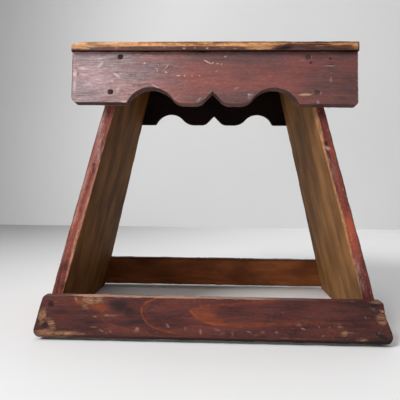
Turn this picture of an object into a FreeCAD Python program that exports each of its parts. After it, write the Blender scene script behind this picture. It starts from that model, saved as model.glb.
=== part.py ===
"""Wooden milking stool: seven boards and their nails.

Millimetres, +Z up, +X to the right, front towards -Y. The origin is on the floor under the seat's middle.
Two slanted leg boards carry a thin seat board. A scalloped apron is nailed across them at the top, front
and rear, and a floor rail at the foot, front and rear. The legs splay sideways and their front and rear
edges lean inwards as they rise, so aprons and rails lie in two leaning planes that meet the floor along
the feet.
"""
import FreeCAD, Part
import math
import os

import Sketcher

SIZES = [
    # name, size, what it is (lengths in millimetres, slopes in degrees)
    ("stool_height", 363.0, "floor to the top of the seat"),
    ("leg_splay", 14.4, "slope of the leg boards, seen from the front"),
    ("board_lean", 6.3, "slope of the legs' front and rear edges, seen from the side"),
    ("leg_reach", 211.0, "middle of the stool to the outer face of a leg, on the floor"),
    ("leg_thickness", 14.5, "leg board, square to its face"),
    ("foot_depth", 263.0, "leg board, front to rear, on the floor"),
    ("leg_edge_round", 1.0, "rounding of the leg boards' long edges"),
    ("seat_thickness", 11.0, "seat board"),
    ("seat_end_overhang", 1.5, "seat past the ends of the aprons"),
    ("seat_side_overhang", 4.8, "seat past the faces of the aprons"),
    ("seat_corner", 4.0, "rounding of the seat's four corners, seen from above"),
    ("seat_top_round", 3.5, "worn rounding round the top of the seat"),
    ("seat_under_round", 1.5, "rounding round the underside of the seat"),
    ("seat_wear_run", 18.0, "length of the worn slope at the left end of the seat"),
    ("seat_wear_drop", 2.8, "how much lower the seat is worn at that end"),
    ("seat_wear_blend", 60.0, "radius that blends the worn slope into the top"),
    ("apron_overhang", 54.4, "apron past the outer face of a leg, under the seat"),
    ("apron_width", 66.0, "apron, along its slope on the side that faces the legs"),
    ("apron_thickness", 14.5, "apron"),
    ("apron_round_left", 6.0, "rounded lower left corner of an apron"),
    ("apron_round_right", 2.5, "rounded lower right corner of an apron"),
    ("front_scallop_shift", 1.0, "how far the front scallops were set out left of the middle"),
    ("front_arch_spacing", 151.0, "between the middles of the two front arches"),
    ("front_arch_radius", 32.5, "radius of a front arch"),
    ("front_arch_rise", 19.7, "height of a front arch above the apron's lower edge"),
    ("front_lobe_round", 19.5, "rounding between a front arch and the lobe beside it"),
    ("rear_scallop_shift", 0.0, "how far the rear scallops were set out left of the middle"),
    ("rear_arch_spacing", 147.0, "between the middles of the two rear arches"),
    ("rear_arch_radius", 28.0, "radius of a rear arch"),
    ("rear_arch_rise", 17.8, "height of a rear arch above the apron's lower edge"),
    ("rear_lobe_round", 24.7, "rounding between a rear arch and the lobe beside it"),
    ("arch_foot_round", 2.0, "worn rounding where an arch meets the straight edge"),
    ("cusp_rise", 15.0, "height of the middle cusp above the lower edge"),
    ("cusp_width", 42.4, "width of the notch with the cusp at its top"),
    ("cusp_round", 15.0, "rounding between a side of the notch and the lobe beside it"),
    ("rail_overhang", 6.0, "rail past the outer face of a leg, along its lower edge"),
    ("rail_width", 49.0, "floor rail, from its lower to its upper edge"),
    ("rail_thickness", 12.0, "floor rail"),
    ("rail_clearance", 4.0, "gap between a floor rail and the floor"),
    ("rail_foot_round", 8.0, "rounded lower corners of a rail"),
    ("rail_top_round", 4.0, "rounded upper corners of a rail"),
    ("rail_edge_round", 1.8, "worn rounding along a rail's outer edges"),
    ("nail_length", 38.0, "cut nail, from head to tip"),
    ("nail_shank", 3.2, "square shank of a nail at its head"),
    ("nail_tip", 1.2, "square shank of a nail at its tip"),
    ("nail_head", 6.0, "square head of a nail"),
    ("nail_head_thickness", 1.2, "thickness of a nail's head"),
    ("nail_set", 0.3, "how deep a head lies below the surface of the wood"),
    ("nail_clearance", 0.1, "room round a nail and past its tip"),
    ("apron_nail_low", 14.0, "lower apron nails, above the apron's lower edge"),
    ("apron_nail_high", 58.0, "upper apron nails, above the apron's lower edge"),
    ("rail_nail_low", 13.0, "lower rail nails, above the rail's lower edge"),
    ("rail_nail_high", 38.0, "upper rail nails, above the rail's lower edge"),
    ("seat_nail_spread", 90.0, "between the two seat nails in one leg"),
    ("seat_nail_inner", 100.0, "between the two inner seat nails in one apron"),
    ("seat_nail_outer", 290.0, "between the two outer seat nails in one apron"),
]

FRONT, REAR = -1, 1
LEFT, RIGHT = -1, 1
UP = FreeCAD.Vector(0, 0, 1)

# Lengths that follow from the sheet, as expressions.
UNDERSIDE = "(Sizes.stool_height - Sizes.seat_thickness)"
HALF_FOOT = "Sizes.foot_depth / 2"
LEG_ACROSS = "(Sizes.leg_thickness / cos(Sizes.leg_splay))"
APRON_ACROSS = "(Sizes.apron_thickness / cos(Sizes.board_lean))"
RAIL_ACROSS = "(Sizes.rail_thickness / cos(Sizes.board_lean))"
APRON_TOP = f"({UNDERSIDE} / cos(Sizes.board_lean))"
APRON_FOOT = f"({APRON_TOP} - Sizes.apron_width)"
RAIL_TOP = "(Sizes.rail_clearance + Sizes.rail_width)"
TOP_REACH = f"(Sizes.leg_reach - tan(Sizes.leg_splay) * {UNDERSIDE})"
HALF_APRON = f"({TOP_REACH} + Sizes.apron_overhang)"
HALF_SEAT = f"({HALF_APRON} + Sizes.seat_end_overhang)"
APRON_BACK = f"({HALF_FOOT} - tan(Sizes.board_lean) * {UNDERSIDE})"
HALF_SEAT_DEPTH = f"({APRON_BACK} + {APRON_ACROSS} + Sizes.seat_side_overhang)"
HALF_RAIL = "(Sizes.leg_reach - tan(Sizes.leg_splay) * Sizes.rail_clearance + Sizes.rail_overhang)"
HEAD_HOLE = "(Sizes.nail_head + 2 * Sizes.nail_clearance)"
HEAD_SEAT = "(Sizes.nail_set + Sizes.nail_head_thickness)"
NAIL_TAPER = "atan((Sizes.nail_shank - Sizes.nail_tip) / 2 / Sizes.nail_length)"

doc = FreeCAD.newDocument("MilkingStool")
sheet = doc.addObject("Spreadsheet::Sheet", "Sizes")
for row, (alias, size, meaning) in enumerate(SIZES, start=1):
    sheet.set(f"A{row}", meaning)
    sheet.set(f"B{row}", str(size))
    sheet.setAlias(f"B{row}", alias)
doc.recompute()


def value(expression):
    """The number that an expression gives with the sizes in the sheet."""
    result = sheet.evalExpression(expression)
    return float(getattr(result, "Value", result))


# ---------------------------------------------------------------- sketches

def new_body(label):
    body = doc.addObject("PartDesign::Body", label)
    body.Label = label
    body.AllowCompound = True
    return body


def new_sketch(body, name, plane, lift="0", turn=None):
    """A sketch on one of the body's own planes, lifted along the plane's normal and turned about its X."""
    sketch = body.newObject("Sketcher::SketchObject", name)
    support = next(f for f in body.Origin.OriginFeatures if f.Role == plane)
    sketch.AttachmentSupport = [(support, "")]
    sketch.MapMode = "FlatFace"
    level = FreeCAD.Rotation(FreeCAD.Vector(1, 0, 0), 0)
    sketch.AttachmentOffset = FreeCAD.Placement(FreeCAD.Vector(), level)
    sketch.setExpression("AttachmentOffset.Base.z", lift)
    if turn:
        sketch.setExpression("AttachmentOffset.Rotation.Angle", turn)
    return sketch


def dimension(sketch, kind, elements, expression):
    """One driving dimension, bound to the sheet."""
    index = sketch.addConstraint(Sketcher.Constraint(kind, *elements, value(expression)))
    sketch.setExpression(f"Constraints[{index}]", expression)


def pin(sketch, geometry, end, x, y):
    """Dimension a point from the sketch's origin."""
    dimension(sketch, "DistanceX", (-1, 1, geometry, end), x)
    dimension(sketch, "DistanceY", (-1, 1, geometry, end), y)


def polygon(sketch, corners):
    """A closed outline of straight lines with every corner dimensioned from the origin."""
    points = [FreeCAD.Vector(value(x), value(y), 0) for x, y in corners]
    first = sketch.GeometryCount
    count = len(points)
    for i in range(count):
        sketch.addGeometry(Part.LineSegment(points[i], points[(i + 1) % count]))
    for i in range(count):
        sketch.addConstraint(Sketcher.Constraint("Coincident", first + i, 2, first + (i + 1) % count, 1))
        pin(sketch, first + i, 1, *corners[i])


def squares(sketch, centres, width):
    """Equal squares about dimensioned centres."""
    for x, y in centres:
        polygon(sketch, [
            (f"{x} + {across} * {width} / 2", f"{y} + {up} * {width} / 2")
            for across, up in ((-1, -1), (1, -1), (1, 1), (-1, 1))
        ])


def add_arc(sketch, centre, start, end):
    """The shorter arc about a centre; gives its index and which of its ends are the start and the end."""
    radius = start.distanceToPoint(centre)
    angles = [math.atan2(p.y - centre.y, p.x - centre.x) for p in (start, end)]
    ends = (1, 2)
    if (angles[1] - angles[0]) % (2 * math.pi) > math.pi:
        angles.reverse()
        ends = (2, 1)
    index = sketch.addGeometry(Part.ArcOfCircle(Part.Circle(centre, UP, radius), *angles))
    return index, ends[0], ends[1]


# ---------------------------------------------------------------- features

def pad(body, sketch, length, reverse=False, midplane=False, taper=None):
    feature = body.newObject("PartDesign::Pad", sketch.Name + "Pad")
    feature.Profile = sketch
    feature.setExpression("Length", length)
    feature.Reversed = reverse
    if midplane:
        feature.SideType = "Symmetric"
    if taper:
        feature.setExpression("TaperAngle", f"-{taper}")


def pocket(body, sketch, length=None, reverse=False, taper=None):
    """A cut of a given depth, or right through on both sides when no depth is given."""
    feature = body.newObject("PartDesign::Pocket", sketch.Name + "Cut")
    feature.Profile = sketch
    feature.Reversed = reverse
    if length:
        feature.setExpression("Length", length)
    else:
        feature.Type = "ThroughAll"
        feature.SideType = "Symmetric"
    if taper:
        feature.setExpression("TaperAngle", f"-{taper}")


def round_edges(body, name, radius, test):
    """Fillet the edges of the body's tip that pass a test."""
    doc.recompute()
    base = body.Tip
    edges = [f"Edge{i}" for i, edge in enumerate(base.Shape.Edges, start=1) if test(edge)]
    feature = body.newObject("PartDesign::Fillet", name)
    feature.Base = (base, edges)
    feature.setExpression("Radius", radius)


def runs_along(edge, axis):
    """True for a straight edge parallel to a coordinate axis."""
    if not isinstance(edge.Curve, Part.Line):
        return False
    return abs(abs(edge.Curve.Direction[axis]) - 1) < 1e-6


def place(body, x="0", y="0", axis=None, angle=None):
    """Set a body's place, bound to the sheet."""
    turn = FreeCAD.Rotation(axis or UP, 0)
    body.Placement = FreeCAD.Placement(FreeCAD.Vector(value(x), value(y), 0), turn)
    body.setExpression("Placement.Base.x", x)
    body.setExpression("Placement.Base.y", y)
    if angle:
        body.setExpression("Placement.Rotation.Angle", angle)


def lean(body, side):
    """Stand a body in the leaning plane of the legs' edges: Z runs up the slope from the floor."""
    place(body, y=f"{side} * {HALF_FOOT}", axis=FreeCAD.Vector(1, 0, 0), angle=f"{side} * Sizes.board_lean")


# ---------------------------------------------------------------- nail places

def leg_middle(slope_height):
    """How far the middle of a leg's edge is inside its outer foot, at a height up the leaning plane."""
    return f"{LEG_ACROSS} / 2 + tan(Sizes.leg_splay) * cos(Sizes.board_lean) * ({slope_height})"


def nail_hole(board):
    """Width of a nail's hole where the nail leaves the board that its head lies in."""
    return f"(Sizes.nail_shank - (Sizes.nail_shank - Sizes.nail_tip) * Sizes.{board}_thickness / " \
           f"Sizes.nail_length + 2 * Sizes.nail_clearance)"


def nail_depth(board):
    """Depth of a nail's hole in the wood behind that board."""
    return f"(Sizes.nail_length + Sizes.nail_set + Sizes.nail_clearance - Sizes.{board}_thickness)"


def drill_board(body, name, plane, face, centres, board, reverse=False, turn=None, rise=None):
    """The holes of the board that the heads lie in: a tapered hole right through and a seat for each head."""
    for part, width, depth, taper in (
        ("shank", "(Sizes.nail_shank + 2 * Sizes.nail_clearance)", f"Sizes.{board}_thickness", NAIL_TAPER),
        ("head", HEAD_HOLE, HEAD_SEAT, None),
    ):
        sketch = new_sketch(body, f"{name}_{part}_holes", plane, lift=face, turn=turn)
        if rise:
            sketch.setExpression("AttachmentOffset.Base.y", rise)
        squares(sketch, centres, width)
        pocket(body, sketch, depth, reverse=reverse, taper=taper)


APRON_NAIL_HEIGHTS = [f"{APRON_FOOT} + Sizes.apron_nail_{row}" for row in ("low", "high")]
RAIL_NAIL_HEIGHTS = [
    f"(Sizes.rail_clearance + Sizes.rail_nail_{row}) / cos(Sizes.board_lean)" for row in ("low", "high")
]
NAIL_ROWS = {"apron": APRON_NAIL_HEIGHTS, "rail": RAIL_NAIL_HEIGHTS}

SEAT_GRIP = "(Sizes.nail_length + Sizes.nail_set - Sizes.seat_thickness)"
SEAT_NAIL_IN_LEG = f"({LEG_ACROSS} / 2 + tan(Sizes.leg_splay) * ({UNDERSIDE} - {SEAT_GRIP} / 2))"
SEAT_NAIL_IN_APRON = f"({APRON_ACROSS} / 2 + tan(Sizes.board_lean) * {SEAT_GRIP} / 2)"
SEAT_NAIL_COLUMNS = [
    f"{hand} * Sizes.seat_nail_{row} / 2" for hand in (LEFT, RIGHT) for row in ("inner", "outer")
]


def face_nails(heights):
    """Nail places on an apron or rail, four in all, each over the middle of a leg's edge."""
    return [(f"{hand} * (Sizes.leg_reach - ({leg_middle(u)}))", u) for hand in (LEFT, RIGHT) for u in heights]


def seat_nails():
    """Nail places on the seat: two over each leg and four over each apron."""
    over_legs = [
        (f"{hand} * (Sizes.leg_reach - {SEAT_NAIL_IN_LEG})", f"{side} * Sizes.seat_nail_spread / 2")
        for hand in (LEFT, RIGHT) for side in (FRONT, REAR)
    ]
    edge = f"({APRON_BACK} + {SEAT_NAIL_IN_APRON})"
    over_aprons = [(x, f"{side} * {edge}") for side in (FRONT, REAR) for x in SEAT_NAIL_COLUMNS]
    return over_legs + over_aprons


# ---------------------------------------------------------------- boards

def make_seat():
    """Thin board with its ends and edges worn round, and its left end worn down."""
    body = new_body("seat_board")
    top = "Sizes.stool_height"
    profile = new_sketch(body, "SeatProfile", "XZ_Plane")
    polygon(profile, [
        (f"-{HALF_SEAT}", UNDERSIDE),
        (HALF_SEAT, UNDERSIDE),
        (HALF_SEAT, top),
        (f"-{HALF_SEAT} + Sizes.seat_wear_run", top),
        (f"-{HALF_SEAT}", f"{top} - Sizes.seat_wear_drop"),
    ])
    pad(body, profile, f"2 * {HALF_SEAT_DEPTH}", midplane=True)
    crease = value(f"-{HALF_SEAT} + Sizes.seat_wear_run")
    round_edges(body, "SeatWearBlend", "Sizes.seat_wear_blend",
                lambda edge: runs_along(edge, 1) and abs(edge.BoundBox.XMin - crease) < 0.01)
    round_edges(body, "SeatCorners", "Sizes.seat_corner", lambda edge: runs_along(edge, 2))
    underside = value(UNDERSIDE)
    round_edges(body, "SeatUnderRound", "Sizes.seat_under_round",
                lambda edge: edge.BoundBox.ZMax < underside + 0.01)
    worn = value(f"{top} - Sizes.seat_wear_drop")
    inside = value(f"{HALF_SEAT} - Sizes.seat_corner")
    round_edges(body, "SeatTopRound", "Sizes.seat_top_round",
                lambda edge: edge.BoundBox.ZMin > worn - 0.01
                and not (runs_along(edge, 1) and abs(edge.CenterOfMass.x) < inside))
    drill_board(body, "Seat", "XY_Plane", top, seat_nails(), "seat")


def make_leg(label, hand):
    """Slanted board, level at both ends, its front and rear edges leaning inwards as they rise."""
    body = new_body(label)
    slant = f"tan(Sizes.leg_splay) * {UNDERSIDE}"
    outline = new_sketch(body, label + "_outline", "XZ_Plane")
    polygon(outline, [
        ("0", "0"),
        (LEG_ACROSS, "0"),
        (f"{LEG_ACROSS} + {slant}", UNDERSIDE),
        (slant, UNDERSIDE),
    ])
    pad(body, outline, "Sizes.foot_depth", midplane=True)
    for side, name in ((FRONT, "front"), (REAR, "rear")):
        taper = new_sketch(body, f"{label}_{name}_taper", "YZ_Plane")
        polygon(taper, [
            (f"{side} * {HALF_FOOT}", "0"),
            (f"{side} * {APRON_BACK}", UNDERSIDE),
            (f"{side} * ({HALF_FOOT} + Sizes.leg_thickness)", UNDERSIDE),
            (f"{side} * ({HALF_FOOT} + Sizes.leg_thickness)", "0"),
        ])
        pocket(body, taper)
    long_edge = value(UNDERSIDE)
    round_edges(body, label + "_edges", "Sizes.leg_edge_round", lambda edge: edge.Length > long_edge)
    for side, name in ((FRONT, "front"), (REAR, "rear")):
        for joint in ("apron", "rail"):
            holes = new_sketch(body, f"{label}_{name}_{joint}_holes", "XZ_Plane",
                               lift=f"{-side} * {HALF_FOOT}", turn=f"{side} * Sizes.board_lean")
            squares(holes, [(leg_middle(u), u) for u in NAIL_ROWS[joint]], nail_hole(joint))
            pocket(body, holes, nail_depth(joint), reverse=side == REAR, taper=NAIL_TAPER)
    tops = new_sketch(body, label + "_top_holes", "XY_Plane", lift=UNDERSIDE)
    spread = [(SEAT_NAIL_IN_LEG, f"{side} * Sizes.seat_nail_spread / 2") for side in (FRONT, REAR)]
    squares(tops, spread, nail_hole("seat"))
    pocket(body, tops, nail_depth("seat"), taper=NAIL_TAPER)
    place(body, x=f"{hand} * Sizes.leg_reach", angle=("180" if hand == RIGHT else "0"))


def scallop_points(name, hand):
    """Where the curves of one half of the scalloped edge meet, from the flat end to the cusp."""
    radius = value(f"Sizes.{name}_arch_radius")
    lobe = value(f"Sizes.{name}_lobe_round")
    rise = value(f"Sizes.{name}_arch_rise")
    arch = FreeCAD.Vector(value(f"Sizes.{name}_arch_spacing") / 2, rise - radius, 0)
    reach = math.sqrt((radius + lobe) ** 2 - (lobe - arch.y) ** 2)
    shoulder = FreeCAD.Vector(arch.x - reach, lobe, 0)
    notch = FreeCAD.Vector(value("Sizes.cusp_width") / 2, value("Sizes.cusp_round"), 0)
    cusp = FreeCAD.Vector(0, value("Sizes.cusp_rise"), 0)
    to_notch = notch - cusp
    steepness = math.asin(notch.y / to_notch.Length) - math.atan2(to_notch.y, to_notch.x)
    side_length = math.sqrt(to_notch.Length ** 2 - notch.y ** 2)
    points = {
        "foot": FreeCAD.Vector(arch.x + math.sqrt(radius ** 2 - arch.y ** 2), 0, 0),
        "arch": arch,
        "meet": arch + (shoulder - arch) * (radius / (radius + lobe)),
        "shoulder": shoulder,
        "lobe_outer": FreeCAD.Vector(shoulder.x, 0, 0),
        "lobe_inner": FreeCAD.Vector(notch.x, 0, 0),
        "notch": notch,
        "notch_side": cusp + FreeCAD.Vector(math.cos(steepness), -math.sin(steepness), 0) * side_length,
        "cusp": cusp,
    }
    lower_edge = value(APRON_FOOT)
    return {word: FreeCAD.Vector(hand * p.x, p.y + lower_edge, 0) for word, p in points.items()}


def scalloped_half(sketch, name, hand, end_x):
    """Half of an apron's outline, from its end to its cusp. Gives the end line and the line at the cusp."""
    p = scallop_points(name, hand)
    corner = FreeCAD.Vector(value(end_x), value(APRON_FOOT), 0)
    top = FreeCAD.Vector(corner.x, value(APRON_TOP), 0)
    end = sketch.addGeometry(Part.LineSegment(top, corner))
    flat = sketch.addGeometry(Part.LineSegment(corner, p["foot"]))
    arch, arch_start, arch_end = add_arc(sketch, p["arch"], p["foot"], p["meet"])
    shoulder, shoulder_start, shoulder_end = add_arc(sketch, p["shoulder"], p["meet"], p["lobe_outer"])
    lobe = sketch.addGeometry(Part.LineSegment(p["lobe_outer"], p["lobe_inner"]))
    notch, notch_start, notch_end = add_arc(sketch, p["notch"], p["lobe_inner"], p["notch_side"])
    notch_side = sketch.addGeometry(Part.LineSegment(p["notch_side"], p["cusp"]))
    for joint in (
        ("Coincident", end, 2, flat, 1),
        ("Coincident", flat, 2, arch, arch_start),
        ("Tangent", arch, arch_end, shoulder, shoulder_start),
        ("Tangent", shoulder, shoulder_end, lobe, 1),
        ("Tangent", lobe, 2, notch, notch_start),
        ("Tangent", notch, notch_end, notch_side, 1),
        ("Vertical", end),
        ("Horizontal", flat),
        ("Horizontal", lobe),
    ):
        sketch.addConstraint(Sketcher.Constraint(*joint))
    pin(sketch, end, 1, end_x, APRON_TOP)
    dimension(sketch, "DistanceY", (-1, 1, end, 2), APRON_FOOT)
    pin(sketch, lobe, 2, f"{hand} * Sizes.cusp_width / 2", APRON_FOOT)
    pin(sketch, arch, 3, f"{hand} * Sizes.{name}_arch_spacing / 2",
        f"{APRON_FOOT} + Sizes.{name}_arch_rise - Sizes.{name}_arch_radius")
    dimension(sketch, "Radius", (arch,), f"Sizes.{name}_arch_radius")
    dimension(sketch, "Radius", (shoulder,), f"Sizes.{name}_lobe_round")
    dimension(sketch, "Radius", (notch,), "Sizes.cusp_round")
    return end, notch_side


def make_apron(name, side):
    """Board with a scalloped lower edge, cut square to its face, and a level top edge under the seat."""
    label = f"{name}_apron"
    body = new_body(label)
    shift = f"Sizes.{name}_scallop_shift"
    outline = new_sketch(body, label + "_outline", "XZ_Plane")
    ends = {hand: f"{hand} * {HALF_APRON} + {shift}" for hand in (LEFT, RIGHT)}
    halves = {hand: scalloped_half(outline, name, hand, ends[hand]) for hand in (LEFT, RIGHT)}
    corners = [FreeCAD.Vector(value(ends[hand]), value(APRON_TOP), 0) for hand in (LEFT, RIGHT)]
    top = outline.addGeometry(Part.LineSegment(*corners))
    outline.addConstraint(Sketcher.Constraint("Coincident", top, 1, halves[LEFT][0], 1))
    outline.addConstraint(Sketcher.Constraint("Coincident", top, 2, halves[RIGHT][0], 1))
    outline.addConstraint(Sketcher.Constraint("Coincident", halves[LEFT][1], 2, halves[RIGHT][1], 2))
    pin(outline, halves[RIGHT][1], 2, "0", f"{APRON_FOOT} + Sizes.cusp_rise")
    pad(body, outline, "Sizes.apron_thickness", reverse=side == REAR)

    bevel = new_sketch(body, label + "_top_bevel", "YZ_Plane")
    outward = f"{side} * 2 * Sizes.apron_thickness"
    polygon(bevel, [
        ("0", APRON_TOP),
        (outward, f"{APRON_TOP} - 2 * Sizes.apron_thickness * tan(Sizes.board_lean)"),
        (outward, f"{APRON_TOP} + Sizes.apron_thickness"),
        ("0", f"{APRON_TOP} + Sizes.apron_thickness"),
    ])
    pocket(body, bevel)

    lower_edge = value(APRON_FOOT) + 0.01
    for hand, word in ((LEFT, "left"), (RIGHT, "right")):
        end = value(ends[hand])
        foot = scallop_points(name, hand)["foot"].x
        round_edges(body, f"{label}_{word}_corner", f"Sizes.apron_round_{word}",
                    lambda edge: runs_along(edge, 1) and abs(edge.BoundBox.XMin - end) < 0.01
                    and edge.BoundBox.ZMax < lower_edge)
        round_edges(body, f"{label}_{word}_foot", "Sizes.arch_foot_round",
                    lambda edge: runs_along(edge, 1) and abs(edge.BoundBox.XMin - foot) < 0.01
                    and edge.BoundBox.ZMax < lower_edge)

    places = [(f"{x} + {shift}", u) for x, u in face_nails(APRON_NAIL_HEIGHTS)]
    drill_board(body, label, "XZ_Plane", f"{-side} * Sizes.apron_thickness", places, "apron",
                reverse=side == REAR)

    # The seat's nails come straight down into the top edge, which leans in this body's own frame.
    tops = new_sketch(body, label + "_top_holes", "XY_Plane", lift=APRON_TOP,
                      turn=f"{-side} * Sizes.board_lean")
    columns = [(f"{x} + {shift}", f"{side} * {SEAT_NAIL_IN_APRON}") for x in SEAT_NAIL_COLUMNS]
    squares(tops, columns, nail_hole("seat"))
    pocket(body, tops, nail_depth("seat"), taper=NAIL_TAPER)
    lean(body, side)
    body.setExpression("Placement.Base.x", f"-{shift}")


def make_rail(name, side):
    """Low board across the feet, its ends cut to the slant of the legs and its edges level."""
    label = f"{name}_floor_rail"
    body = new_body(label)
    foot = "Sizes.rail_clearance"
    inner_foot = f"({HALF_FOOT} - tan(Sizes.board_lean) * {foot})"
    inner_top = f"({HALF_FOOT} - tan(Sizes.board_lean) * {RAIL_TOP})"
    section = new_sketch(body, label + "_section", "YZ_Plane")
    polygon(section, [
        (f"-{inner_foot}", foot),
        (f"-{inner_top}", RAIL_TOP),
        (f"-{inner_top} - {RAIL_ACROSS}", RAIL_TOP),
        (f"-{inner_foot} - {RAIL_ACROSS}", foot),
    ])
    pad(body, section, f"2 * {HALF_RAIL}", midplane=True)
    for hand, word in ((LEFT, "left"), (RIGHT, "right")):
        slant = new_sketch(body, f"{label}_{word}_end", "XZ_Plane")
        polygon(slant, [
            (f"{hand} * {HALF_RAIL}", foot),
            (f"{hand} * ({HALF_RAIL} - tan(Sizes.leg_splay) * Sizes.rail_width)", RAIL_TOP),
            (f"{hand} * ({HALF_RAIL} + Sizes.rail_width)", RAIL_TOP),
            (f"{hand} * ({HALF_RAIL} + Sizes.rail_width)", foot),
        ])
        pocket(body, slant)
    low = value(foot)
    high = value(RAIL_TOP)
    round_edges(body, label + "_foot_corners", "Sizes.rail_foot_round",
                lambda edge: runs_along(edge, 1) and edge.BoundBox.ZMax < low + 0.01)
    round_edges(body, label + "_top_corners", "Sizes.rail_top_round",
                lambda edge: runs_along(edge, 1) and edge.BoundBox.ZMin > high - 0.01)
    outer_foot = value(f"-{inner_foot} - {RAIL_ACROSS}")
    outer_slope = math.tan(math.radians(value("Sizes.board_lean")))
    round_edges(body, label + "_outer_edges", "Sizes.rail_edge_round",
                lambda edge: all(abs(v.Y - outer_foot - outer_slope * (v.Z - low)) < 0.01
                                 for v in edge.Vertexes))
    # The nails stand square to the leaning face, so their sketches lean with it.
    drill_board(body, label, "XZ_Plane", f"{HALF_FOOT} + Sizes.rail_thickness * cos(Sizes.board_lean)",
                face_nails(RAIL_NAIL_HEIGHTS), "rail", turn="-Sizes.board_lean",
                rise="Sizes.rail_thickness * sin(Sizes.board_lean)")
    place(body, angle=("180" if side == REAR else "0"))


# ---------------------------------------------------------------- nails

def make_nails(label, centres, plane, head_top, reverse):
    """Separate cut nails in one body, with square heads and shanks that taper to the tip."""
    body = new_body(label)
    for part, width, length, taper in (
        ("heads", "Sizes.nail_head", "Sizes.nail_head_thickness", None),
        ("shanks", "Sizes.nail_shank", "Sizes.nail_length", NAIL_TAPER),
    ):
        sketch = new_sketch(body, f"{label}_{part}", plane, lift=head_top)
        squares(sketch, centres, width)
        pad(body, sketch, length, reverse=reverse, taper=taper)
    return body


def make_face_nails(name, side, board):
    """The four nails of one apron or rail, square to its leaning face."""
    head_top = f"{-side} * (Sizes.{board}_thickness - Sizes.nail_set)"
    centres = face_nails(NAIL_ROWS[board])
    lean(make_nails(f"{name}_{board}_nails", centres, "XZ_Plane", head_top, reverse=side == FRONT), side)


# ---------------------------------------------------------------- the stool

make_seat()
make_leg("left_leg_board", LEFT)
make_leg("right_leg_board", RIGHT)
for name, side in (("front", FRONT), ("rear", REAR)):
    make_apron(name, side)
    make_rail(name, side)
    make_face_nails(name, side, "apron")
    make_face_nails(name, side, "rail")
make_nails("seat_nails", seat_nails(), "XY_Plane", "Sizes.stool_height - Sizes.nail_set", reverse=True)
doc.recompute()

for item in doc.Objects:
    if "Invalid" in item.State or "Error" in item.State:
        raise RuntimeError(f"{item.Label} did not build: {item.State}")
bodies = [item for item in doc.Objects if item.TypeId == "PartDesign::Body"]
os.makedirs("parts", exist_ok=True)
for body in bodies:
    if body.Shape.isNull() or not body.Shape.isValid():
        raise RuntimeError(f"{body.Label} has no sound shape")
    body.Shape.exportStep(f"parts/{body.Label}.step")
    print(f"{body.Label}: {len(body.Shape.Solids)} solid(s), {body.Shape.Volume / 1000:.2f} cm3")
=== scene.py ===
import math

import bmesh
import bpy
import numpy as np
from mathutils import Matrix, Vector, noise
from mathutils.kdtree import KDTree


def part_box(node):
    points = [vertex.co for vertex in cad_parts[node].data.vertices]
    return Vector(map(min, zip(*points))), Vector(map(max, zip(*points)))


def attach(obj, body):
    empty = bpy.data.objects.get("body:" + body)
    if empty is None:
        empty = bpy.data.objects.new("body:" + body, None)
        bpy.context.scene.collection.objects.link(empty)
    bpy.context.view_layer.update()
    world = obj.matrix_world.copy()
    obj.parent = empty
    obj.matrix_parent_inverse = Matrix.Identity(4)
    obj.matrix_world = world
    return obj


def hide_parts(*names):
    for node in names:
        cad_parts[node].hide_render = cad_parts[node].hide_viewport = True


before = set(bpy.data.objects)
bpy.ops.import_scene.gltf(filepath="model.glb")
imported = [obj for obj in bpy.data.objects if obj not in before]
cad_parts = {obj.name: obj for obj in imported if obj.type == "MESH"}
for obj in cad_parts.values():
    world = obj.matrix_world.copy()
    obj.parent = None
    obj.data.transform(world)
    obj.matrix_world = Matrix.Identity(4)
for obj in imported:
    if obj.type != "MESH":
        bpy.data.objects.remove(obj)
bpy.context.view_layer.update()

MM = 0.001

# ---------------------------------------------------------------- leg boards
# Two slanted softwood boards carry the stool, sawn level at both ends and splayed to the sides. Their outer
# faces and their front and rear edges were painted oxblood long ago. The inner faces never were: on them the
# wood has only browned with age. The paint is rubbed off along the arrises, most of all on the inner ones.
LEAN = math.radians(6.3)
SPLAY = math.radians(14.4)
FOOT_REACH = 211.0
LEG_THICKNESS = 14.5
LEG_ACROSS = LEG_THICKNESS / math.cos(SPLAY)
# Edges whose faces turn by more than this, in radians, are arrises.
SHARP_TURN = 0.6


def sawn_board(cells, place):
    """A block cut into cells along X, Y and Z, each point put in place from its shares of the three."""
    board = bmesh.new()
    bmesh.ops.create_cube(board, size=1.0)
    for axis, count in enumerate(cells):
        along = [e for e in board.edges if abs(e.verts[0].co[axis] - e.verts[1].co[axis]) > 0.5]
        bmesh.ops.subdivide_edges(board, edges=along, cuts=count - 1, use_grid_fill=True)
    for point in board.verts:
        point.co = place(*(point.co + Vector((0.5, 0.5, 0.5))))
    bmesh.ops.recalc_face_normals(board, faces=board.faces)
    return board


def wear_arrises(board, rounding, reach, depth, seed):
    """Round a board's sharp edges, rub and nick them unevenly and note how far each point lies from them."""
    sharp = [e for e in board.edges if e.calc_face_angle(0) > SHARP_TURN]
    arrises = [p.co.copy() for p in {p for e in sharp for p in e.verts}]
    middles = [(e.verts[0].co + e.verts[1].co) / 2 for e in sharp]
    tree = KDTree(len(arrises) + len(middles))
    for index, spot in enumerate(arrises + middles):
        tree.insert(spot, index)
    tree.balance()
    bmesh.ops.bevel(board, geom=sharp, offset=rounding, offset_type="OFFSET", segments=2, profile=0.5,
                    affect="EDGES", material=-1, clamp_overlap=True)
    board.normal_update()
    distance = board.verts.layers.float.new("arris")
    # The rubbing varies over about 22 mm and the nicks over about 7 mm.
    for point in board.verts:
        away = tree.find(point.co)[2]
        point[distance] = away / MM
        if away < reach:
            spot = point.co + Vector((seed, 0, 0))
            rub = max(noise.fractal(spot * 45, 1.0, 2.1, 3) + 0.25, 0)
            nick = max(noise.fractal(spot * 150, 1.0, 2.1, 2) - 0.3, 0)
            point.co -= point.normal * depth * (rub + 1.4 * nick) * (1 - away / reach) ** 2


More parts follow.
